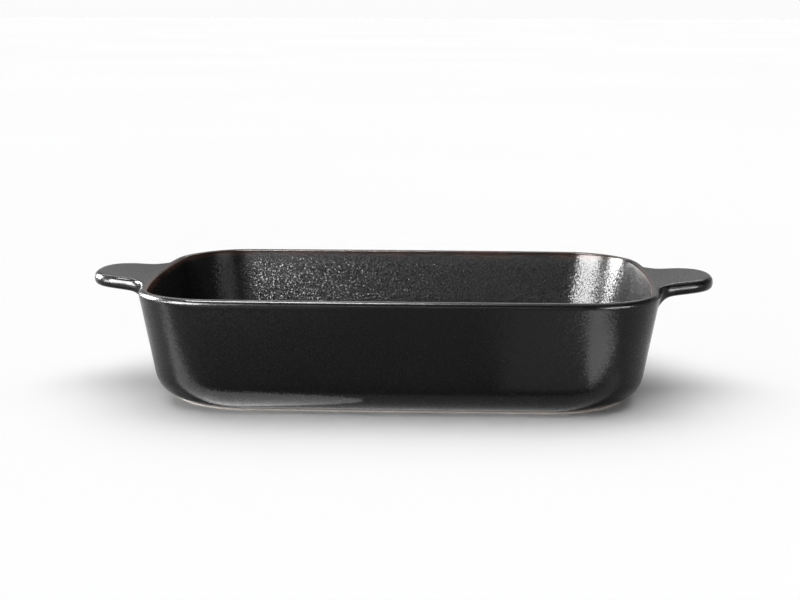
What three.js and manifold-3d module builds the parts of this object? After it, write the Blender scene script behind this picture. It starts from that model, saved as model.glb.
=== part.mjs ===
// A rectangular stoneware baking dish with a tab handle on each short end.
// Millimetres, +Z up: it stands on z = 0, centred on the origin, with its long side along X.
import * as THREE from "three";
import { mergeVertices } from "three/addons/utils/BufferGeometryUtils.js";
import Module from "manifold-3d";

const wasm = await Module();
wasm.setup();

// The dish, measured over its glaze
const RIM_LENGTH = 330;
const RIM_WIDTH = 222;
const HEIGHT = 72;
const CORNER_RADIUS = 44;
const FOOT_CORNER_RADIUS = 43;
const WALL_DRAFT = 10.3;
const WALL_THICKNESS = 6;
const FLOOR_THICKNESS = 6.5;
const RIM_OUTER_RADIUS = 2.8;
const RIM_INNER_RADIUS = 1.6;
const HEEL_RADIUS = 22.4;
const INSIDE_RADIUS = 14;

// How far the sides curve back from their middles to the corners, and how far the rim dips at its ends
const END_BOW = 11.3;
const SIDE_BOW = 2.7;
const RIM_DIP = 1.2;
const DIP_START = 20;

// The bare foot ring, and the recess that it stands round
const FOOT_HEIGHT = 1.45;
const FOOT_WIDTH = 6;
const RECESS_DEPTH = 2;

// The tab handles, measured over their glaze: reach is from the rim, and tilt is the rise from its crest
const HANDLE_REACH = 36.4;
const HANDLE_WIDTH = 68;
const HANDLE_THICKNESS = 8.6;
const HANDLE_EDGE_RADIUS = 3.4;
const HANDLE_SQUARENESS = 2.8;
const HANDLE_TILT = 8;
const HANDLE_FILLET = 12;
const HANDLE_COVE = 12;

// The coats, the clearance that parts them from the clay, and the bare band that they leave at the foot
const GLAZE_THICKNESS = 0.5;
const JOINT_GAP = 0.3;
const GLAZE_SETBACK = 0.6;

// How finely round stretches are divided
const CORNER_STEPS = 7;
const SIDE_STEPS = 4;
const ARC_STEPS = 5;
const EDGE_STEPS = 4;
const ACROSS_STEPS = 4;
const TIP_STEPS = 9;
const CAP_MARGIN = 0.04;

const SKIN = GLAZE_THICKNESS + JOINT_GAP;
const DRAFT = THREE.MathUtils.degToRad(WALL_DRAFT);
const TILT = THREE.MathUtils.degToRad(HANDLE_TILT);
const UP = Math.PI / 2;
const FLOOR_TOP = RECESS_DEPTH + FLOOR_THICKNESS;

// How far inside the rim's outermost line the sloping wall's outer face lies at a height
function outerWallAt(z) {
  const start = RIM_OUTER_RADIUS * (1 - 1 / Math.cos(DRAFT));
  return start + (HEIGHT - RIM_OUTER_RADIUS - z) * Math.tan(DRAFT);
}

function innerWallAt(z) {
  return outerWallAt(z) + WALL_THICKNESS;
}

// A place in the wall's upright section: lean is how far the outer face has come in, and depth is how far
// the place lies behind that face. Rings of one lean share their corner centres.
function onOuterFace(inset) {
  return { lean: inset, depth: 0 };
}

function onRimOrInside(inset) {
  return { lean: Math.max(0, inset - WALL_THICKNESS), depth: Math.min(inset, WALL_THICKNESS) };
}

// Points along a round stretch of the section, each with the way its face looks, out of the dish and up.
// A hollow stretch looks towards its centre.
function arc(centre, radius, from, to, place, hollow = false) {
  const facing = hollow ? -1 : 1;
  return Array.from({ length: ARC_STEPS + 1 }, (_, step) => {
    const angle = THREE.MathUtils.lerp(from, to, step / ARC_STEPS);
    const out = Math.cos(angle);
    const up = Math.sin(angle);
    const inset = centre.inset - radius * out;
    return { ...place(inset), z: centre.z + radius * up, out: facing * out, up: facing * up };
  });
}

const heelCentre = { inset: outerWallAt(HEEL_RADIUS) + HEEL_RADIUS / Math.cos(DRAFT), z: HEEL_RADIUS };
const footAngle = Math.asin(FOOT_HEIGHT / HEEL_RADIUS - 1);
const footInset = heelCentre.inset - HEEL_RADIUS * Math.cos(footAngle);

function heel(from) {
  return arc(heelCentre, HEEL_RADIUS, from, -DRAFT, onOuterFace);
}

const rimOuterCentre = { inset: RIM_OUTER_RADIUS, z: HEIGHT - RIM_OUTER_RADIUS };
const rimOuter = arc(rimOuterCentre, RIM_OUTER_RADIUS, -DRAFT, UP, onRimOrInside);

const rimInnerCentre = {
  inset: innerWallAt(HEIGHT - RIM_INNER_RADIUS) - RIM_INNER_RADIUS / Math.cos(DRAFT),
  z: HEIGHT - RIM_INNER_RADIUS,
};
const rimInner = arc(rimInnerCentre, RIM_INNER_RADIUS, UP, Math.PI - DRAFT, onRimOrInside);

const insideCentre = {
  inset: innerWallAt(FLOOR_TOP + INSIDE_RADIUS) + INSIDE_RADIUS / Math.cos(DRAFT),
  z: FLOOR_TOP + INSIDE_RADIUS,
};
const insideCorner = arc(insideCentre, INSIDE_RADIUS, -DRAFT, -UP, onRimOrInside, true);

// Bows the straight sides of the plan and dips the rim towards the middle of each end
function shaped({ x, y, z }) {
  const along = Math.min((2 * Math.abs(x)) / RIM_LENGTH, 1) ** 2;
  const across = Math.min((2 * Math.abs(y)) / RIM_WIDTH, 1) ** 2;
  const height = Math.max(z - DIP_START, 0) / (HEIGHT - DIP_START);
  return new THREE.Vector3(
    x * (1 - ((2 * END_BOW) / RIM_LENGTH) * across),
    y * (1 - ((2 * SIDE_BOW) / RIM_WIDTH) * along),
    z - RIM_DIP * along * (1 - across) * height,
  );
}

// A rounded rectangle round the dish through a point of the section, moved along its face's normal
const cornerTaper = (CORNER_RADIUS - FOOT_CORNER_RADIUS) / footInset;

function ringThrough(point, offset) {
  const depth = point.depth - offset * point.out;
  const radius = CORNER_RADIUS - cornerTaper * point.lean - depth;
  const z = point.z + offset * point.up;
  const centreX = RIM_LENGTH / 2 - point.lean - depth - radius;
  const centreY = RIM_WIDTH / 2 - point.lean - depth - radius;
  const corners = [[0, 1, 1], [1, -1, 1], [2, -1, -1], [3, 1, -1]].map(([quarter, signX, signY]) =>
    Array.from({ length: CORNER_STEPS + 1 }, (_, step) => {
      const angle = (quarter + step / CORNER_STEPS) * UP;
      const x = signX * centreX + radius * Math.cos(angle);
      const y = signY * centreY + radius * Math.sin(angle);
      return new THREE.Vector3(x, y, z);
    }),
  );
  const ring = corners.flatMap((corner, quarter) => {
    const next = corners[(quarter + 1) % corners.length][0];
    return [...corner, ...between(corner[CORNER_STEPS], next, SIDE_STEPS)];
  });
  return ring.map(shaped);
}

function between(from, to, steps) {
  return Array.from({ length: steps - 1 }, (_, step) => from.clone().lerp(to, (step + 1) / steps));
}

function ringsThrough(points, offset) {
  return points.map((point) => ringThrough(point, offset));
}

// A closed surface over rings that run counter-clockwise seen from the way the loft travels.
// A looped loft ends on its first ring, and any other is capped at both ends.
function loft(rings, looped = false) {
  const count = rings[0].length;
  const points = rings.flat();
  const index = [];
  const last = looped ? rings.length : rings.length - 1;
  for (let row = 0; row < last; row++) {
    const low = row * count;
    const high = ((row + 1) % rings.length) * count;
    for (let i = 0; i < count; i++) {
      const next = (i + 1) % count;
      index.push(low + i, low + next, high + next, low + i, high + next, high + i);
    }
  }
  if (!looped) {
    addCap(points, index, 0, count, true);
    addCap(points, index, (rings.length - 1) * count, count, false);
  }
  return new THREE.BufferGeometry().setFromPoints(points).setIndex(index);
}

function addCap(points, index, start, count, flipped) {
  const middle = new THREE.Vector3();
  for (let i = 0; i < count; i++) {
    middle.addScaledVector(points[start + i], 1 / count);
  }
  const centre = points.push(middle) - 1;
  for (let i = 0; i < count; i++) {
    const here = start + i;
    const next = start + ((i + 1) % count);
    index.push(...(flipped ? [next, here, centre] : [here, next, centre]));
  }
}

function solidOf(geometry) {
  const merged = mergeVertices(geometry);
  return new wasm.Manifold(
    new wasm.Mesh({
      numProp: 3,
      vertProperties: merged.attributes.position.array,
      triVerts: new Uint32Array(merged.index.array),
    }),
  );
}

function geometryOf(solid) {
  const mesh = solid.getMesh();
  return new THREE.BufferGeometry()
    .setAttribute("position", new THREE.BufferAttribute(mesh.vertProperties, 3))
    .setIndex(new THREE.BufferAttribute(mesh.triVerts, 1));
}

// The dish's outside as one filled block, moved along its faces' normals
function filledDish(offset) {
  return solidOf(loft(ringsThrough([...heel(footAngle), ...rimOuter], offset)));
}

// The fired clay: recess, foot ring, heel, wall, rim, inside and floor in one turn round the section
function stonewareBody() {
  const foot = [
    { ...onRecess(recessInset), z: RECESS_DEPTH + SKIN },
    { ...onRecess(footInset + FOOT_WIDTH), z: 0 },
    { ...onOuterFace(footInset), z: 0 },
    { ...onOuterFace(footInset), z: FOOT_HEIGHT },
  ];
  const face = [...heel(footAngle), ...rimOuter, ...rimInner, ...insideCorner];
  const footRings = foot.map((point) => ringThrough({ ...point, out: 0, up: 0 }, 0));
  return loft([...footRings, ...ringsThrough(face, -SKIN)]);
}

const recessInset = footInset + FOOT_WIDTH + RECESS_DEPTH + SKIN;

function onRecess(inset) {
  return { lean: footInset, depth: inset - footInset };
}

// The two coats meet along the middle of the rim's flat top
const crestMiddle = (rimOuterCentre.inset + rimInnerCentre.inset) / 2;

function crestAt(inset) {
  return { ...onRimOrInside(inset), z: HEIGHT, out: 0, up: 1 };
}

function insideGlaze() {
  const face = [crestAt(crestMiddle + JOINT_GAP / 2), ...rimInner, ...insideCorner];
  const behind = ringsThrough(face, -GLAZE_THICKNESS).reverse();
  return loft([...behind, ...ringsThrough(face, 0)]);
}

// The outside coat runs from the bare band at the foot to the crest, and on over both handles
function outsideGlaze() {
  const start = footAngle + GLAZE_SETBACK / HEEL_RADIUS;
  const face = [...heel(start), ...rimOuter, crestAt(crestMiddle - JOINT_GAP / 2)];
  const behind = ringsThrough(face, -GLAZE_THICKNESS).reverse();
  const wallCoat = solidOf(loft([...ringsThrough(face, 0), ...behind], true));
  const core = filledDish(-GLAZE_THICKNESS / 2);
  return [1, -1].reduce(
    (coat, side) => coat.add(handleForm(side, 0).subtract(core)).subtract(handleForm(side, -GLAZE_THICKNESS)),
    wallCoat,
  );
}

function undersideGlaze() {
  const edge = { ...onRecess(recessInset + JOINT_GAP), out: 0, up: 1 };
  const panel = { ...edge, z: RECESS_DEPTH };
  return loft([ringThrough(panel, 0), ringThrough(panel, GLAZE_THICKNESS)]);
}

// The round hollow between a handle's underside and the sloping wall, tangent to both.
// Distances s run outwards from the rim, and a root ends just short of the seam between the coats.
const handleTop = HEIGHT + crestMiddle * Math.tan(TILT);
const handleUnder = handleTop - HANDLE_THICKNESS;
const rootS = JOINT_GAP - crestMiddle;
const coveS =
  (HANDLE_COVE / Math.cos(DRAFT) - outerWallAt(handleUnder - HANDLE_COVE / Math.cos(TILT))) /
  (1 - Math.tan(TILT) * Math.tan(DRAFT));
const coveZ = handleUnder + coveS * Math.tan(TILT) - HANDLE_COVE / Math.cos(TILT);

function undersideAt(s, offset) {
  const radius = HANDLE_COVE - offset;
  const wallEnd = coveS - radius * Math.cos(DRAFT);
  const flatStart = coveS - radius * Math.sin(TILT);
  if (s > flatStart) {
    return handleUnder + s * Math.tan(TILT) - offset / Math.cos(TILT);
  }
  return coveZ + Math.sqrt(radius ** 2 - (Math.max(s, wallEnd) - coveS) ** 2);
}

// How far a handle has curved down from its first slope, which brings its top level at the tip
function bendAt(s) {
  return (Math.tan(TILT) * Math.max(s, 0) ** 2) / (2 * HANDLE_REACH);
}

// How much wider a handle grows towards the wall, in a fillet on each side
function flareAt(s, offset) {
  const radius = HANDLE_FILLET - offset;
  const centre = HANDLE_FILLET - outerWallAt(handleTop - HANDLE_THICKNESS / 2);
  const across = THREE.MathUtils.clamp(centre - s, 0, radius);
  return radius - Math.sqrt(radius ** 2 - across ** 2);
}

// Half the width of a handle's plan, a squared-off ellipse, on a line inset from its edge
function halfWidthAt(s, offset, inset) {
  const reach = HANDLE_REACH + offset - inset;
  const half = HANDLE_WIDTH / 2 + offset - inset;
  const along = THREE.MathUtils.clamp(s / reach, 0, 1);
  const oval = half * (1 - along ** HANDLE_SQUARENESS) ** (1 / HANDLE_SQUARENESS);
  return Math.max(oval + flareAt(s, offset), CAP_MARGIN);
}

// One upright slice across a handle, with round edges that close in towards its tip
function handleSlice(side, s, offset) {
  const top = handleTop + s * Math.tan(TILT) + offset / Math.cos(TILT);
  const bottom = undersideAt(s, offset);
  const flatBottom = handleUnder + s * Math.tan(TILT) - offset / Math.cos(TILT);
  const edge = Math.min(HANDLE_EDGE_RADIUS, HANDLE_THICKNESS / 2) + offset;
  const lowerEdge = edge + Math.min(flareAt(s, offset), flatBottom - bottom);
  const room = HANDLE_REACH + offset - s;
  const quarter = (radius, height) =>
    Array.from({ length: EDGE_STEPS + 1 }, (_, step) => {
      const full = Math.acos(1 - Math.min(1, room / radius));
      const angle = (full * step) / EDGE_STEPS;
      const inset = radius * (1 - Math.cos(angle));
      return { y: halfWidthAt(s, offset, inset), z: height(radius * (1 - Math.sin(angle))) };
    });
  const upper = quarter(edge, (fall) => top - fall);
  const lower = quarter(lowerEdge, (rise) => bottom + rise);
  const x = side * (RIM_LENGTH / 2 + s);
  const right = [...lower.reverse(), ...upper].map(({ y, z }) => new THREE.Vector3(x, y, z - bendAt(s)));
  const left = right.map(({ y, z }) => new THREE.Vector3(x, -y, z)).reverse();
  const over = between(right.at(-1), left[0], ACROSS_STEPS);
  const under = between(left.at(-1), right[0], ACROSS_STEPS);
  const slice = [...right, ...over, ...left, ...under].map(shaped);
  return side > 0 ? slice : slice.reverse();
}

// A whole handle, whose root runs on into the wall, moved along its faces' normals
function handleForm(side, offset) {
  const radius = HANDLE_COVE - offset;
  const reach = HANDLE_REACH + offset;
  const stations = [rootS];
  for (let step = 0; step <= ARC_STEPS; step++) {
    const angle = THREE.MathUtils.lerp(DRAFT, UP - TILT, step / ARC_STEPS);
    stations.push(coveS - radius * Math.cos(angle));
  }
  for (let step = 1; step <= TIP_STEPS; step++) {
    const along = Math.sin((UP * step) / TIP_STEPS) ** (2 / HANDLE_SQUARENESS);
    stations.push(Math.min(reach * along, reach - CAP_MARGIN));
  }
  return solidOf(loft(stations.map((s) => handleSlice(side, s, offset))));
}

// The clay lug, cut off just clear of the slip that joins it to the wall
function handleClay(side) {
  return handleForm(side, -SKIN).subtract(filledDish(JOINT_GAP));
}

function handleSlip(side) {
  return handleForm(side, -SKIN).intersect(filledDish(0)).subtract(filledDish(-GLAZE_THICKNESS));
}

const stoneware = new THREE.MeshStandardMaterial({ color: "#b9a48f", roughness: 0.9, metalness: 0 });
const slip = new THREE.MeshStandardMaterial({ color: "#a8937f", roughness: 0.95, metalness: 0 });
const glaze = new THREE.MeshStandardMaterial({ color: "#17161a", roughness: 0.38, metalness: 0 });

function piece(name, geometry, material) {
  geometry.computeVertexNormals();
  const mesh = new THREE.Mesh(geometry, material.clone());
  mesh.name = name;
  return mesh;
}

const dish = new THREE.Group();
dish.add(piece("stoneware_body", stonewareBody(), stoneware));
for (const [name, side] of [["left_handle", -1], ["right_handle", 1]]) {
  dish.add(piece(name, geometryOf(handleClay(side)), stoneware));
  dish.add(piece(`${name}_slip`, geometryOf(handleSlip(side)), slip));
}
dish.add(piece("inside_glaze", insideGlaze(), glaze));
dish.add(piece("outside_glaze", geometryOf(outsideGlaze()), glaze));
dish.add(piece("underside_glaze", undersideGlaze(), glaze));

export default dish;
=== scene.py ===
"""A rectangular stoneware baking dish: a satin black glaze over bare clay, on a pale studio floor.

Metres, +Z up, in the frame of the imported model: the dish stands on z = 0 with its long side along X.
"""

import math

import bpy
import numpy as np
from mathutils import Matrix, Vector


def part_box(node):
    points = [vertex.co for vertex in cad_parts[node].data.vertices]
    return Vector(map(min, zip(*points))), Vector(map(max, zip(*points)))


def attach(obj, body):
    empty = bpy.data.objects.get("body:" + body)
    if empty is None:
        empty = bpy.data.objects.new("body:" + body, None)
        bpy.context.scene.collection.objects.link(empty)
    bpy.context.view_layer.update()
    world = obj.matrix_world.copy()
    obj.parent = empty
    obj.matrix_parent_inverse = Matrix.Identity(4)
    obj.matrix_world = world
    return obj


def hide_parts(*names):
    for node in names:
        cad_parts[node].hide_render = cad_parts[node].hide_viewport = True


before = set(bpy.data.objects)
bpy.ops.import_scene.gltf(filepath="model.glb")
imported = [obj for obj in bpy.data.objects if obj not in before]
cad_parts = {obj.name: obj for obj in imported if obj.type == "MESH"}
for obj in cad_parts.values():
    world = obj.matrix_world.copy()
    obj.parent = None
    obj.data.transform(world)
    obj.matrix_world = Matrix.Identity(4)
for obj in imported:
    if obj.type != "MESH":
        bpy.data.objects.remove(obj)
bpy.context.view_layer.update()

MM = 0.001

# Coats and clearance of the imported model
GLAZE_THICKNESS = 0.5 * MM
JOINT_GAP = 0.3 * MM
SKIN = GLAZE_THICKNESS + JOINT_GAP

# How far the smoothed rim swells past its control cage
RIM_SWELL = 0.13 * MM

# Sizes read from the frame
_, body_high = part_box("stoneware_body")
_, coat_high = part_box("outside_glaze")
panel_low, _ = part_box("underside_glaze")
inside_low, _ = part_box("inside_glaze")
HALF_LENGTH = body_high.x + SKIN
HALF_WIDTH = body_high.y + SKIN - RIM_SWELL
HEIGHT = body_high.z + SKIN
HANDLE_REACH = coat_high.x - HALF_LENGTH
RECESS_DEPTH = panel_low.z
FLOOR_TOP = inside_low.z + GLAZE_THICKNESS

# The wall's section, measured over the glaze
CORNER_RADIUS = 44 * MM
FOOT_CORNER_RADIUS = 43 * MM
WALL_THICKNESS = 6 * MM
RIM_OUTER_RADIUS = 2.8 * MM
RIM_INNER_RADIUS = 1.6 * MM
HEEL_RADIUS = 22.4 * MM
INSIDE_RADIUS = 14 * MM
FOOT_HEIGHT = 1.45 * MM
FOOT_WIDTH = 6 * MM
FOOT_EDGE = 0.35 * MM
GLAZE_SETBACK = 0.6 * MM
RECESS_FLAT = 4 * MM
PANEL_FLAT = 3 * MM
TUCK_DEPTH = 3 * MM
TUCK_HEIGHT = 2.4 * MM
DRAFT = math.radians(10.3)

# How far the sides curve back from their middles to the corners, and how far the rim dips at its ends
END_BOW = 11.3 * MM
SIDE_BOW = 2.7 * MM
RIM_DIP = 1.2 * MM
DIP_START = 20 * MM

# The tab handles
HANDLE_WIDTH = 68 * MM
HANDLE_THICKNESS = 8.6 * MM
HANDLE_EDGE_RADIUS = 3.4 * MM
HANDLE_SQUARENESS = 2.8
HANDLE_TILT = math.radians(8)
HANDLE_FILLET = 12 * MM
HANDLE_COVE = 12 * MM
EDGE_WEAR = 0.55

# The control cage: shares of the straight runs where its columns stand, heights of its rows on the walls,
# how far its flat faces are drawn in, and its steps round each arc
ROOT_SHARES = (-0.69, -0.61, -0.48, -0.32, -0.16, 0, 0.16, 0.32, 0.48, 0.61, 0.69)
END_SHARES = (-1, -0.84, *ROOT_SHARES, 0.84, 1)
SIDE_SHARES = tuple(np.linspace(-1, 1, 11))
WALL_HEIGHTS = (28 * MM, 43 * MM)
ROOT_HEIGHTS = (62 * MM, 66 * MM)
INSIDE_HEIGHTS = (62 * MM, 45 * MM, 30 * MM)
FLOOR_SHARES = (0.97, 0.65, 0.3)
CAP_SHARE = 0.5
CORNER_STEPS = 8
HEEL_STEPS = 6
RIM_STEPS = 3
EDGE_ANGLES = tuple(math.radians(a) for a in (-90, -60, -30, 0, 30, 60, 90))
SUBDIVISIONS = 2

# How far the glaze's grain tilts its surface
INSIDE_GRAIN = 0.6
OUTSIDE_GRAIN = 0.3
EDGE_GRAIN = 0.15

UP = math.pi / 2


def outer_wall_at(z):
    """How far inside the rim's outermost line the sloping wall's outer face lies at a height."""
    start = RIM_OUTER_RADIUS * (1 - 1 / math.cos(DRAFT))
    return start + (HEIGHT - RIM_OUTER_RADIUS - z) * math.tan(DRAFT)


def inner_wall_at(z):
    """The same for the inner face."""
    return outer_wall_at(z) + WALL_THICKNESS


# A row of the section: how far the outer face has leaned in, how deep the row lies behind that face,
# its height, the way its face looks (out, up), and how far the glaze has run thin on it (bare, 0 to 1)


def outer_row(inset, z, out=1.0, up=0.0, bare=0.0):
    return {"lean": inset, "depth": 0.0, "z": z, "out": out, "up": up, "bare": bare}


def inner_row(inset, z, out=0.0, up=1.0, bare=0.0):
    lean = max(0.0, inset - WALL_THICKNESS)
    return {"lean": lean, "depth": inset - lean, "z": z, "out": out, "up": up, "bare": bare}


def rounded(radius, step):
    """The radius of a control polygon whose subdivided curve has the given radius."""
    return radius * 6 / (4 + 2 * math.cos(step))


def arc_rows(centre, radius, start, end, steps, row, hollow=False, bare=0.0):
    """Rows round an arc of the section, between two angles above the level."""
    facing = -1 if hollow else 1
    reach = rounded(radius, (end - start) / steps)
    rows = []
    for angle in np.linspace(start, end, steps + 1):
        out = math.cos(angle)
        up = math.sin(angle)
        rows.append(row(centre[0] - reach * out, centre[1] + reach * up, facing * out, facing * up, bare))
    return rows


heel_centre = (outer_wall_at(HEEL_RADIUS) + HEEL_RADIUS / math.cos(DRAFT), HEEL_RADIUS)
foot_angle = math.asin(FOOT_HEIGHT / HEEL_RADIUS - 1)
foot_inset = heel_centre[0] - HEEL_RADIUS * math.cos(foot_angle)
corner_taper = (CORNER_RADIUS - FOOT_CORNER_RADIUS) / foot_inset


def recess_row(behind, z):
    """A row under the dish, a distance behind the foot's outer face."""
    return {"lean": foot_inset, "depth": behind, "z": z, "out": 0.0, "up": 0.0, "bare": 0.0}


def columns():
    """Each column of the cage as (share of x, share of y, radius along x, radius along y)."""
    placed = []
    for quarter, (sx, sy) in enumerate(((1, 1), (-1, 1), (-1, -1), (1, -1))):
        if quarter % 2 == 0:
            placed += [(sx, sx * share, sx, 0) for share in END_SHARES]
        else:
            placed += [(-sy * share, sy, 0, sy) for share in SIDE_SHARES]
        for step in range(1, CORNER_STEPS):
            angle = (quarter + step / CORNER_STEPS) * UP
            placed.append((sx, sy, math.cos(angle), math.sin(angle)))
    return np.array(placed, float)


COLUMNS = columns()


def ring(row, offset=0.0):
    """A rounded rectangle round the dish through a row, moved along its face's normal."""
    depth = row["depth"] - offset * row["out"]
    radius = CORNER_RADIUS - corner_taper * row["lean"] - depth
    inset = row["lean"] + depth
    middle_x = HALF_LENGTH - inset - radius
    middle_y = HALF_WIDTH - inset - radius
    in_corner = (COLUMNS[:, 2] != 0) & (COLUMNS[:, 3] != 0)
    turned = np.where(in_corner, rounded(radius, UP / CORNER_STEPS), radius)
    x = COLUMNS[:, 0] * middle_x + COLUMNS[:, 2] * turned
    y = COLUMNS[:, 1] * middle_y + COLUMNS[:, 3] * turned
    return np.column_stack([x, y, np.full(len(x), row["z"] + offset * row["up"])])


def shaped(points):
    """Points with the plan's straight sides bowed and the rim dipped towards the middle of each end."""
    x, y, z = np.array(points, float).T
    along = np.minimum(np.abs(x) / HALF_LENGTH, 1) ** 2
    across = np.minimum(np.abs(y) / HALF_WIDTH, 1) ** 2
    height = np.maximum(z - DIP_START, 0) / (HEIGHT - DIP_START)
    bowed_x = x * (1 - END_BOW / HALF_LENGTH * across)
    bowed_y = y * (1 - SIDE_BOW / HALF_WIDTH * along)
    return np.column_stack([bowed_x, bowed_y, z - RIM_DIP * along * (1 - across) * height])


def shrunk(points, share):
    """A ring drawn in towards the middle of the dish."""
    return points * [share, share, 1]


def added(name, data):
    """A new object in the scene."""
    made = bpy.data.objects.new(name, data)
    bpy.context.scene.collection.objects.link(made)
    return made


class Cage:
    """A control cage of quads, with how bare the clay shows and how strong the grain is at each point."""

    def __init__(self):
        self.points = []
        self.bare = []
        self.grain = []
        self.faces = []

    def add(self, points, bare, grain=EDGE_GRAIN):
        start = len(self.points)
        self.points += [tuple(p) for p in shaped(points)]
        self.bare += list(np.broadcast_to(bare, len(points)))
        self.grain += [grain] * len(points)
        return list(range(start, len(self.points)))

    def bridge(self, low, high, skip=()):
        count = len(low)
        for j in range(count):
            if j not in skip:
                k = (j + 1) % count
                self.faces.append((low[j], low[k], high[k], high[j]))

    def loft(self, rings, bare, grain, holes=None):
        """Rings in order, closed by a flat face at each end. holes gives the columns left open in a row."""
        rows = [self.add(*marked) for marked in zip(rings, bare, grain)]
        for i in range(len(rows) - 1):
            self.bridge(rows[i], rows[i + 1], (holes or {}).get(i, ()))
        self.faces.append(tuple(reversed(rows[0])))
        self.faces.append(tuple(rows[-1]))
        return rows

    def piece(self, name, material, replaced):
        mesh = bpy.data.meshes.new(name)
        mesh.from_pydata(self.points, [], self.faces)
        for mark, values in (("bare", self.bare), ("grain", self.grain)):
            attribute = mesh.attributes.new(mark, "FLOAT", "POINT")
            attribute.data.foreach_set("value", np.array(values, np.float32))
        mesh.polygons.foreach_set("use_smooth", np.ones(len(mesh.polygons), bool))
        mesh.materials.append(material)
        made = added(name, mesh)
        surface = made.modifiers.new("surface", "SUBSURF")
        surface.levels = SUBDIVISIONS
        surface.render_levels = SUBDIVISIONS
        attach(made, "root")
        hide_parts(*replaced)


# The section's round stretches, over the glaze
glaze_start = foot_angle + GLAZE_SETBACK / HEEL_RADIUS
heel_rows = arc_rows(heel_centre, HEEL_RADIUS, glaze_start, -DRAFT, HEEL_STEPS, outer_row)

rim_centre = (RIM_OUTER_RADIUS, HEIGHT - RIM_OUTER_RADIUS)
rim_outer_rows = arc_rows(rim_centre, RIM_OUTER_RADIUS, -DRAFT, UP, RIM_STEPS, inner_row)

lip_z = HEIGHT - RIM_INNER_RADIUS
lip_centre = (inner_wall_at(lip_z) - RIM_INNER_RADIUS / math.cos(DRAFT), lip_z)
rim_inner_rows = arc_rows(lip_centre, RIM_INNER_RADIUS, UP, math.pi - DRAFT, RIM_STEPS, inner_row, bare=1.0)

well_z = FLOOR_TOP + INSIDE_RADIUS
well_centre = (inner_wall_at(well_z) + INSIDE_RADIUS / math.cos(DRAFT), well_z)
well_rows = arc_rows(well_centre, INSIDE_RADIUS, -DRAFT, -UP, HEEL_STEPS, inner_row, hollow=True)

# The round hollow under a handle, tangent to its underside and to the wall; s runs outwards from the rim
slope = math.tan(HANDLE_TILT)
crest_inset = (RIM_OUTER_RADIUS + lip_centre[0]) / 2
handle_top = HEIGHT + crest_inset * slope
handle_under = handle_top - HANDLE_THICKNESS
cove_fall = HANDLE_COVE / math.cos(HANDLE_TILT)
cove_reach = HANDLE_COVE / math.cos(DRAFT) - outer_wall_at(handle_under - cove_fall)
cove_s = cove_reach / (1 - slope * math.tan(DRAFT))
cove_z = handle_under + cove_s * slope - cove_fall
cove_wall_z = cove_z + HANDLE_COVE * math.sin(DRAFT)


def underside_at(s):
    """The height of a handle's underside, before the handle bends down."""
    flat_start = cove_s - HANDLE_COVE * math.sin(HANDLE_TILT)
    if s > flat_start:
        return handle_under + s * slope
    return cove_z + math.sqrt(max(0.0, HANDLE_COVE**2 - (s - cove_s) ** 2))


def bend_at(s):
    """How far a handle has curved down from its first slope, which brings its top level at the tip."""
    return slope * max(s, 0.0) ** 2 / (2 * HANDLE_REACH)


def flare_at(s):
    """How much wider a handle is near the wall, in a fillet on each side."""
    across = min(max(HANDLE_FILLET - s, 0.0), HANDLE_FILLET)
    return HANDLE_FILLET - math.sqrt(HANDLE_FILLET**2 - across**2)


def oval(share):
    """A squared-off ellipse of unit size."""
    return (1 - min(abs(share), 1.0) ** HANDLE_SQUARENESS) ** (1 / HANDLE_SQUARENESS)


# Rings of a handle from its root to the shoulders of its tip: s along the underside, the edges and the top,
# and how much of the tip's curve the ring follows across
SHOULDER = 0.5 ** (1 / HANDLE_SQUARENESS)
shoulder_s = SHOULDER * HANDLE_REACH


def cove_station(share):
    """How far out a share of the hollow's arc lies, from the wall to the handle."""
    return cove_s - HANDLE_COVE * math.cos(DRAFT + share * (UP - HANDLE_TILT - DRAFT))


HANDLE_RINGS = (
    (cove_station(0.33), 0.13 * HANDLE_FILLET, -0.5 * MM, 0.0),
    (cove_station(0.67), 0.5 * HANDLE_FILLET, 4 * MM, 0.0),
    (cove_station(1.0), HANDLE_FILLET, 9.5 * MM, 0.05),
    (16 * MM, 17 * MM, 16 * MM, 0.2),
    (22 * MM, 22.5 * MM, 22 * MM, 0.5),
    (shoulder_s, shoulder_s, shoulder_s, 1.0),
)


def handle_point(side, share, angle, station):
    """A point of a handle's skin: share across it from -1 to 1, angle round its edge, from under to top."""
    under_s, edge_s, top_s, bend = station
    end_s = top_s if angle > 0 else under_s
    s = edge_s + (end_s - edge_s) * math.sin(angle) ** 2
    inset = HANDLE_EDGE_RADIUS * (1 - math.cos(angle))
    reach = HANDLE_REACH - inset
    along = min(max(s / HANDLE_REACH, 0.0), 1.0)
    half = (HANDLE_WIDTH / 2 - inset) * oval(along) + flare_at(s)
    edge = s - inset * along
    out = edge + bend * reach * (oval(SHOULDER * share) - oval(SHOULDER))
    top = handle_top + out * slope - HANDLE_EDGE_RADIUS
    under = underside_at(out) + HANDLE_EDGE_RADIUS
    rise = math.copysign(1, angle) if angle else 0.0
    z = (top + under) / 2 + rise * (top - under) / 2 + HANDLE_EDGE_RADIUS * math.sin(angle)
    return side * (HALF_LENGTH + out), side * share * half, z - bend_at(out)


def edge_wear(angle):
    """How thin the glaze runs round a handle's edge."""
    return EDGE_WEAR * math.cos(angle) ** 4


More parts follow.
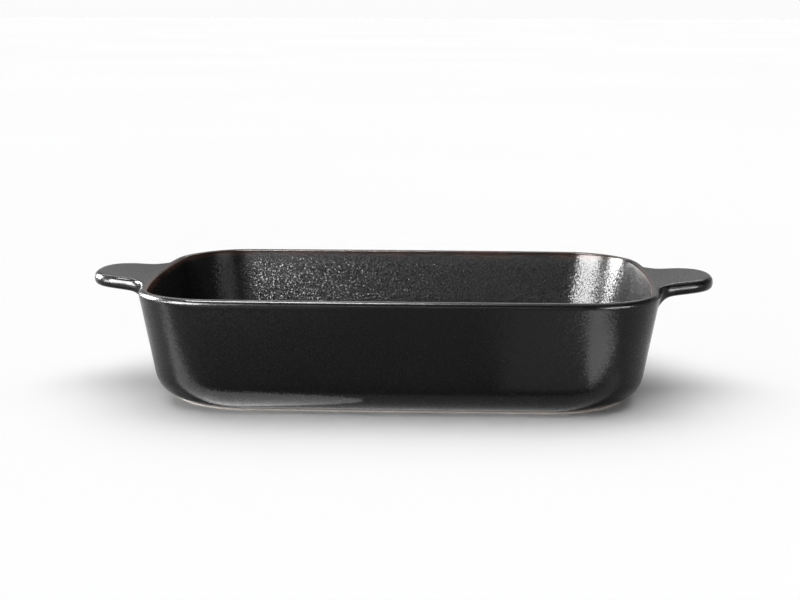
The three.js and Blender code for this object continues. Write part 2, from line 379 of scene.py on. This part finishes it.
def add_handle(cage, rows, side, first, hole_rows):
    """Draws a handle out of the opening that was left for it in the end wall."""
    last = first + len(ROOT_SHARES) - 1
    low, high = hole_rows[0], hole_rows[-1]
    shares = [share / ROOT_SHARES[-1] for share in ROOT_SHARES]
    across = range(len(shares))
    between = range(1, len(hole_rows) - 1)
    loop = [(rows[low][first + i], shares[i], -UP) for i in across]
    loop += [(rows[hole_rows[i]][last], 1.0, EDGE_ANGLES[i]) for i in between]
    loop += [(rows[high][first + i], shares[i], UP) for i in reversed(across)]
    loop += [(rows[hole_rows[i]][first], -1.0, EDGE_ANGLES[i]) for i in reversed(between)]
    ring_before = [vertex for vertex, _, _ in loop]
    for station in HANDLE_RINGS:
        points = [handle_point(side, share, angle, station) for _, share, angle in loop]
        ring_now = cage.add(points, [edge_wear(angle) for _, _, angle in loop])
        cage.bridge(ring_before, ring_now)
        ring_before = ring_now
    known = {(share, angle): vertex for vertex, (_, share, angle) in zip(ring_before, loop)}

    def tip_vertex(share, angle):
        if (share, angle) not in known:
            point = handle_point(side, share, angle, HANDLE_RINGS[-1])
            known[share, angle] = cage.add([point], edge_wear(angle))[0]
        return known[share, angle]

    for a, b in zip(EDGE_ANGLES, EDGE_ANGLES[1:]):
        for left, right in zip(shares, shares[1:]):
            corners = ((left, a), (right, a), (right, b), (left, b))
            cage.faces.append(tuple(tip_vertex(*corner) for corner in corners))


def first_root_column(side):
    """The first of the columns on an end wall that a handle grows from."""
    on_end = np.flatnonzero((COLUMNS[:, 2] == side) & (COLUMNS[:, 3] == 0))
    return int(on_end[END_SHARES.index(ROOT_SHARES[0])])


def glazed_skin(material):
    """The whole glazed surface: inside, rim, outside and both handles, in one unbroken skin."""
    cage = Cage()
    tuck = recess_row(TUCK_DEPTH, TUCK_HEIGHT)
    roll = dict(heel_rows[0], bare=1.0)
    wall = [outer_row(outer_wall_at(z), z) for z in WALL_HEIGHTS]
    root = [outer_row(outer_wall_at(z), z) for z in (cove_wall_z, *ROOT_HEIGHTS)]
    crest = inner_row(crest_inset, HEIGHT, bare=0.5)
    outside = [roll, *heel_rows[1:], *wall, *root]
    rim = [*rim_outer_rows, crest, *rim_inner_rows]
    inside = [inner_row(inner_wall_at(z), z) for z in INSIDE_HEIGHTS]
    rows = [*outside, *rim, *inside, *well_rows]
    hidden = [ring(tuck), ring(roll, -GLAZE_THICKNESS)]
    rings = hidden + [ring(row) for row in rows]
    floor = rings[-1]
    rings += [shrunk(floor, share) for share in FLOOR_SHARES]
    bare = [1.0] * len(hidden) + [row["bare"] for row in rows] + [0.0] * len(FLOOR_SHARES)
    rim_start = len(hidden) + len(outside)
    grain = [OUTSIDE_GRAIN] * rim_start + [EDGE_GRAIN] * len(rim)
    grain += [INSIDE_GRAIN] * (len(rings) - len(grain))
    hole_rows = list(range(rim_start - len(root), rim_start + len(rim_outer_rows)))
    firsts = [first_root_column(side) for side in (1, -1)]
    open_columns = [first + i for first in firsts for i in range(len(ROOT_SHARES) - 1)]
    made = cage.loft(rings, bare, grain, {row: open_columns for row in hole_rows[:-1]})
    for side, first in zip((1, -1), firsts):
        add_handle(cage, made, side, first, hole_rows)
    cage.piece("glaze_skin", material, ["inside_glaze", "outside_glaze"])


def clay_body(material):
    """The fired clay under the skin, whose foot ring stays bare."""
    cage = Cage()
    behind = FOOT_WIDTH + RECESS_DEPTH + SKIN
    ceiling = RECESS_DEPTH + SKIN
    foot = [
        recess_row(behind + RECESS_FLAT, ceiling),
        recess_row(behind, ceiling),
        recess_row(FOOT_WIDTH + FOOT_EDGE, FOOT_EDGE),
        recess_row(FOOT_WIDTH, 0.0),
        recess_row(FOOT_WIDTH - FOOT_EDGE, 0.0),
        recess_row(2 * FOOT_EDGE, 0.0),
        recess_row(FOOT_EDGE, 0.0),
        recess_row(0.0, FOOT_EDGE),
        recess_row(0.0, FOOT_HEIGHT),
    ]
    face = [*heel_rows, *rim_outer_rows, *rim_inner_rows, *well_rows]
    rings = [ring(row) for row in foot] + [ring(row, -SKIN) for row in face]
    rings = [shrunk(rings[0], CAP_SHARE), *rings, shrunk(rings[-1], CAP_SHARE)]
    cage.loft(rings, [1.0] * len(rings), [EDGE_GRAIN] * len(rings))
    cage.piece("clay_body", material, ["stoneware_body"])


def underside_panel(material):
    """The glazed panel inside the foot ring, with a rolled edge."""
    cage = Cage()
    edge = FOOT_WIDTH + RECESS_DEPTH + SKIN + JOINT_GAP
    roll = GLAZE_THICKNESS / 3
    rows = [
        recess_row(edge + PANEL_FLAT, RECESS_DEPTH),
        recess_row(edge + roll, RECESS_DEPTH),
        recess_row(edge, RECESS_DEPTH + roll),
        recess_row(edge, RECESS_DEPTH + GLAZE_THICKNESS),
        recess_row(edge + roll, RECESS_DEPTH + GLAZE_THICKNESS),
    ]
    rings = [ring(row) for row in rows]
    rings = [shrunk(rings[0], CAP_SHARE), *rings]
    bare = [0.0, 0.0, 0.3, 1.0, 1.0, 1.0]
    cage.loft(rings, bare, [OUTSIDE_GRAIN] * len(rings))
    cage.piece("underside_panel", material, ["underside_glaze"])


class Shader:
    """A node material or world, built link by link."""

    def __init__(self, owner, output):
        owner.use_nodes = True
        self.tree = owner.node_tree
        self.tree.nodes.clear()
        self.output = self.tree.nodes.new(output)

    def node(self, kind, inputs=None, **settings):
        """A node whose inputs are links from other nodes or plain values."""
        made = self.tree.nodes.new(kind)
        for name, value in settings.items():
            setattr(made, name, value)
        for name, value in (inputs or {}).items():
            if isinstance(value, bpy.types.NodeSocket):
                self.tree.links.new(value, made.inputs[name])
            else:
                made.inputs[name].default_value = value
        return made

    def ramp(self, source, *stops):
        made = self.node("ShaderNodeValToRGB", {"Fac": source})
        elements = made.color_ramp.elements
        while len(elements) < len(stops):
            elements.new(0.5)
        for element, (position, colour) in zip(elements, stops):
            element.position = position
            element.color = (*colour, 1) if hasattr(colour, "__len__") else (colour, colour, colour, 1)
        return made.outputs["Color"]

    def mix(self, share, first, second):
        made = self.node("ShaderNodeMix", {0: share, 6: first, 7: second}, data_type="RGBA")
        return made.outputs[2]

    def noise(self, place, scale, detail, roughness):
        inputs = {"Vector": place, "Scale": scale, "Detail": detail, "Roughness": roughness}
        return self.node("ShaderNodeTexNoise", inputs)

    def multiply(self, first, second):
        return self.node("ShaderNodeMath", {0: first, 1: second}, operation="MULTIPLY").outputs[0]

    def show(self, shade):
        self.tree.links.new(shade.outputs[0], self.output.inputs[0])


# The glaze: its colours, its gloss, how fine its patterns are to the metre, and how deep it pools
GLAZE_DEEP = (0.003, 0.0028, 0.003)
GLAZE_POOLED = (0.005, 0.0046, 0.0046)
GLAZE_SPECK = (0.03, 0.029, 0.028, 1)
GLAZE_BREAK = (0.065, 0.027, 0.017, 1)
GLAZE_IOR = 1.21
GLAZE_SMOOTH = 0.18
GLAZE_SATIN = 0.28
GRAIN_SCALE = 1000
SAND_SCALE = 900
POOL_SCALE = 28
POOL_DEPTH = 0.8 * MM


def black_glaze():
    """Satin black glaze: sandy on the walls, calmer on edges and handles, red-brown where it runs thin."""
    material = bpy.data.materials.new("satin_black_glaze")
    s = Shader(material, "ShaderNodeOutputMaterial")
    place = s.node("ShaderNodeTexCoord").outputs["Object"]
    grain = s.noise(place, GRAIN_SCALE, 1, 0.5)
    sand = s.node("ShaderNodeTexVoronoi", {"Vector": place, "Scale": SAND_SCALE})
    pools = s.noise(place, POOL_SCALE, 4, 0.55)
    pooling = pools.outputs["Fac"]
    thin = s.node("ShaderNodeAttribute", attribute_name="bare").outputs["Fac"]
    broken = s.ramp(s.multiply(thin, pooling), (0.3, 0.0), (0.58, 1.0))
    black = s.ramp(pooling, (0.3, GLAZE_DEEP), (0.75, GLAZE_POOLED))
    relief = s.node("ShaderNodeAttribute", attribute_name="grain").outputs["Fac"]
    inside = s.ramp(relief, (OUTSIDE_GRAIN, 0.25), (INSIDE_GRAIN, 1.0))
    grit = s.ramp(sand.outputs["Distance"], (0.18, 1.0), (0.36, 0.0))
    specked = s.mix(s.multiply(grit, inside), black, GLAZE_SPECK)
    colour = s.mix(broken, specked, GLAZE_BREAK)
    rough = s.ramp(grain.outputs["Fac"], (0.3, GLAZE_SMOOTH), (0.72, GLAZE_SATIN))
    slow = s.node(
        "ShaderNodeBump",
        {
            "Height": pooling,
            "Normal": sandy_normal(s, grain.outputs["Color"], relief),
            "Strength": 0.12,
            "Distance": POOL_DEPTH,
        },
    )
    shade = s.node(
        "ShaderNodeBsdfPrincipled",
        {"Base Color": colour, "Roughness": rough, "Normal": slow.outputs[0], "IOR": GLAZE_IOR},
    )
    s.show(shade)
    return material


def sandy_normal(s, noise, relief):
    """The surface's normal, tilted grain by grain."""
    middle = (0.5, 0.5, 0.5)
    centred = s.node("ShaderNodeVectorMath", {0: noise, 1: middle}, operation="SUBTRACT")
    tilt = s.node("ShaderNodeVectorMath", {0: centred.outputs[0], "Scale": relief}, operation="SCALE")
    facing = s.node("ShaderNodeNewGeometry").outputs["Normal"]
    tilted = s.node("ShaderNodeVectorMath", {0: facing, 1: tilt.outputs[0]}, operation="ADD")
    return s.node("ShaderNodeVectorMath", {0: tilted.outputs[0]}, operation="NORMALIZE").outputs[0]


# The clay: its colours, how fine its patterns are to the metre, and how far its grog stands out
CLAY_DARK = (0.56, 0.45, 0.36)
CLAY_LIGHT = (0.68, 0.58, 0.49)
IRON_SPECK = (0.2, 0.12, 0.08, 1)
GLAZE_STAIN = (0.035, 0.02, 0.014, 1)
CLOUD_SCALE = 45
GROG_SCALE = 1500
IRON_SCALE = 420
GROG_DEPTH = 0.2 * MM


def bare_clay():
    """Fired stoneware: pale warm clay with grog and iron specks, stained dark where the glaze meets it."""
    material = bpy.data.materials.new("bare_stoneware")
    s = Shader(material, "ShaderNodeOutputMaterial")
    place = s.node("ShaderNodeTexCoord").outputs["Object"]
    cloud = s.noise(place, CLOUD_SCALE, 5, 0.6)
    grog = s.noise(place, GROG_SCALE, 2, 0.7)
    iron = s.node("ShaderNodeTexVoronoi", {"Vector": place, "Scale": IRON_SCALE})
    body = s.ramp(cloud.outputs["Fac"], (0.3, CLAY_DARK), (0.72, CLAY_LIGHT))
    spots = s.ramp(iron.outputs["Distance"], (0.07, 1.0), (0.15, 0.0))
    speckled = s.mix(spots, body, IRON_SPECK)
    rise = s.node("ShaderNodeSeparateXYZ", {"Vector": place}).outputs["Z"]
    stain = s.ramp(s.multiply(rise, 0.5 / FOOT_HEIGHT), (0.2, 0.0), (0.36, 1.0))
    colour = s.mix(stain, speckled, GLAZE_STAIN)
    bump = s.node("ShaderNodeBump", {"Height": grog.outputs["Fac"], "Strength": 0.5, "Distance": GROG_DEPTH})
    shade = s.node(
        "ShaderNodeBsdfPrincipled",
        {"Base Color": colour, "Normal": bump.outputs[0], "Roughness": 0.85},
    )
    s.show(shade)
    return material


def floor_paint():
    """Pale matt paint, a little uneven."""
    material = bpy.data.materials.new("studio_floor")
    s = Shader(material, "ShaderNodeOutputMaterial")
    place = s.node("ShaderNodeTexCoord").outputs["Object"]
    tone = s.node("ShaderNodeTexNoise", {"Vector": place, "Scale": 0.6, "Detail": 2})
    colour = s.ramp(tone.outputs["Fac"], (0.3, 0.93), (0.7, 0.95))
    shade = s.node(
        "ShaderNodeBsdfPrincipled",
        {"Base Color": colour, "Roughness": 0.9, "Specular IOR Level": 0.0},
    )
    s.show(shade)
    return material


FLOOR_SIZE = 80.0


def studio_floor():
    mesh = bpy.data.meshes.new("studio_floor")
    half = FLOOR_SIZE / 2
    corners = [(-half, -half, 0), (half, -half, 0), (half, half, 0), (-half, half, 0)]
    mesh.from_pydata(corners, [], [(0, 1, 2, 3)])
    mesh.materials.append(floor_paint())
    floor = added("studio_floor", mesh)


# Brightness of the surroundings by the sine of their height
SKY = ((0.006, 0.97), (0.03, 0.5), (0.27, 0.5), (0.36, 0.15), (0.72, 0.15), (0.88, 1.0))


def studio_world():
    """Pale at the horizon, dim above it and bright overhead."""
    world = bpy.data.worlds.new("studio")
    bpy.context.scene.world = world
    s = Shader(world, "ShaderNodeOutputWorld")
    place = s.node("ShaderNodeTexCoord").outputs["Generated"]
    height = s.node("ShaderNodeSeparateXYZ", {"Vector": place}).outputs["Z"]
    light = s.node("ShaderNodeBackground", {"Color": s.ramp(height, *SKY), "Strength": 1.0})
    s.show(light)


def aim(made, place, target, roll=0.0):
    """Stands an object at a place and points it at a target."""
    turn = (Vector(target) - Vector(place)).to_track_quat("-Z", "Y").to_matrix().to_4x4()
    made.matrix_world = Matrix.Translation(place) @ turn @ Matrix.Rotation(roll, 4, "Z")


def softbox(name, place, target, size, power, shape="RECTANGLE"):
    """A card of light that shows in the glaze's gloss alone."""
    light = bpy.data.lights.new(name, "AREA")
    light.shape = shape
    light.size, light.size_y = size
    light.energy = power
    made = added(name, light)
    made.visible_camera = False
    made.visible_diffuse = False
    aim(made, place, target)


FLOOR_CARD_HEIGHT = 2 * MM


def floor_card(name, x, y, size, power, shape="RECTANGLE"):
    """A card of light that lies on the floor and faces up."""
    softbox(name, (x, y, FLOOR_CARD_HEIGHT), (x, y, 1), size, power, shape)


def sun(name, place, strength, spread):
    light = bpy.data.lights.new(name, "SUN")
    light.energy = strength
    light.angle = math.radians(spread)
    aim(added(name, light), place, (0, 0, 0))


def studio_lamps():
    """A soft sun for the floor, and cards for the highlights on the walls, rim, handles and heel."""
    sun("back_sun", (-0.06, 0.4, 1.0), 1.9, 80)
    softbox("key_card", (-0.64, -0.65, 0.26), (0.13, 0.09, 0.05), (0.8, 0.4), 115)
    softbox("side_card", (-0.8, 0.27, 0.26), (0.14, 0.08, 0.05), (0.42, 0.35), 70)
    softbox("low_left_card", (-0.62, -0.3, 0.05), (-0.15, -0.1, 0.03), (0.4, 0.08), 9)
    softbox("low_right_card", (0.48, -0.33, 0.04), (0.14, -0.08, 0.03), (0.34, 0.07), 5)
    softbox("rim_card", (-0.3, 1.2, 0.95), (0, 0, 0.07), (2.0, 0.3), 11)
    softbox("top_left_card", (-0.27, -0.1, 0.9), (-0.15, -0.1, 0.07), (0.25, 0.5), 50)
    softbox("front_card", (0.0, -2.2, 0.45), (0, 0, 0.05), (0.7, 0.07), 7)
    softbox("right_card", (0.72, -0.66, 0.26), (-0.14, 0.09, 0.05), (0.6, 0.4), 4)
    floor_card("floor_right_card", 0.17, -0.19, (0.07, 0.14), 0.25)
    floor_card("floor_middle_card", 0.105, -0.19, (0.08, 0.14), 0.03)
    floor_card("floor_left_card", -0.22, -0.265, (0.36, 0.05), 0.22, "ELLIPSE")
    floor_card("foot_card", 0.03, -0.098, (0.3, 0.02), 0.018)
    floor_card("foot_left_card", -0.29, -0.099, (0.54, 0.026), 0.16, "ELLIPSE")


# The photograph's view: where the lens stands round the dish,
# and where the dish's middle falls in the frame
VIEW_AZIMUTH = math.radians(2.38)
VIEW_ELEVATION = math.radians(10.82)
VIEW_DISTANCE = 1.1
VIEW_ROLL = math.radians(0.17)
SENSOR_WIDTH_MM = 36
FRAME_WIDTH_PX = 800
FOCAL_PX = 1672
MIDDLE_RIGHT_PX = 2.0
MIDDLE_DOWN_PX = 27.7


def photograph_camera():
    data = bpy.data.cameras.new("camera")
    data.sensor_width = SENSOR_WIDTH_MM
    data.lens = SENSOR_WIDTH_MM * FOCAL_PX / FRAME_WIDTH_PX
    data.shift_x = -MIDDLE_RIGHT_PX / FRAME_WIDTH_PX
    data.shift_y = MIDDLE_DOWN_PX / FRAME_WIDTH_PX
    camera = added("camera", data)
    middle = Vector((0, 0, HEIGHT / 2))
    level = VIEW_DISTANCE * math.cos(VIEW_ELEVATION)
    place = middle + Vector(
        (
            level * math.sin(VIEW_AZIMUTH),
            -level * math.cos(VIEW_AZIMUTH),
            VIEW_DISTANCE * math.sin(VIEW_ELEVATION),
        )
    )
    aim(camera, place, middle, VIEW_ROLL)
    bpy.context.scene.camera = camera


glaze = black_glaze()
clay = bare_clay()
glazed_skin(glaze)
clay_body(clay)
underside_panel(glaze)
for name in ("left_handle", "right_handle", "left_handle_slip", "right_handle_slip"):
    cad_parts[name].data.materials.clear()
    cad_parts[name].data.materials.append(clay)

studio_floor()
studio_world()
studio_lamps()
photograph_camera()
bpy.context.scene.view_settings.view_transform = "Standard"
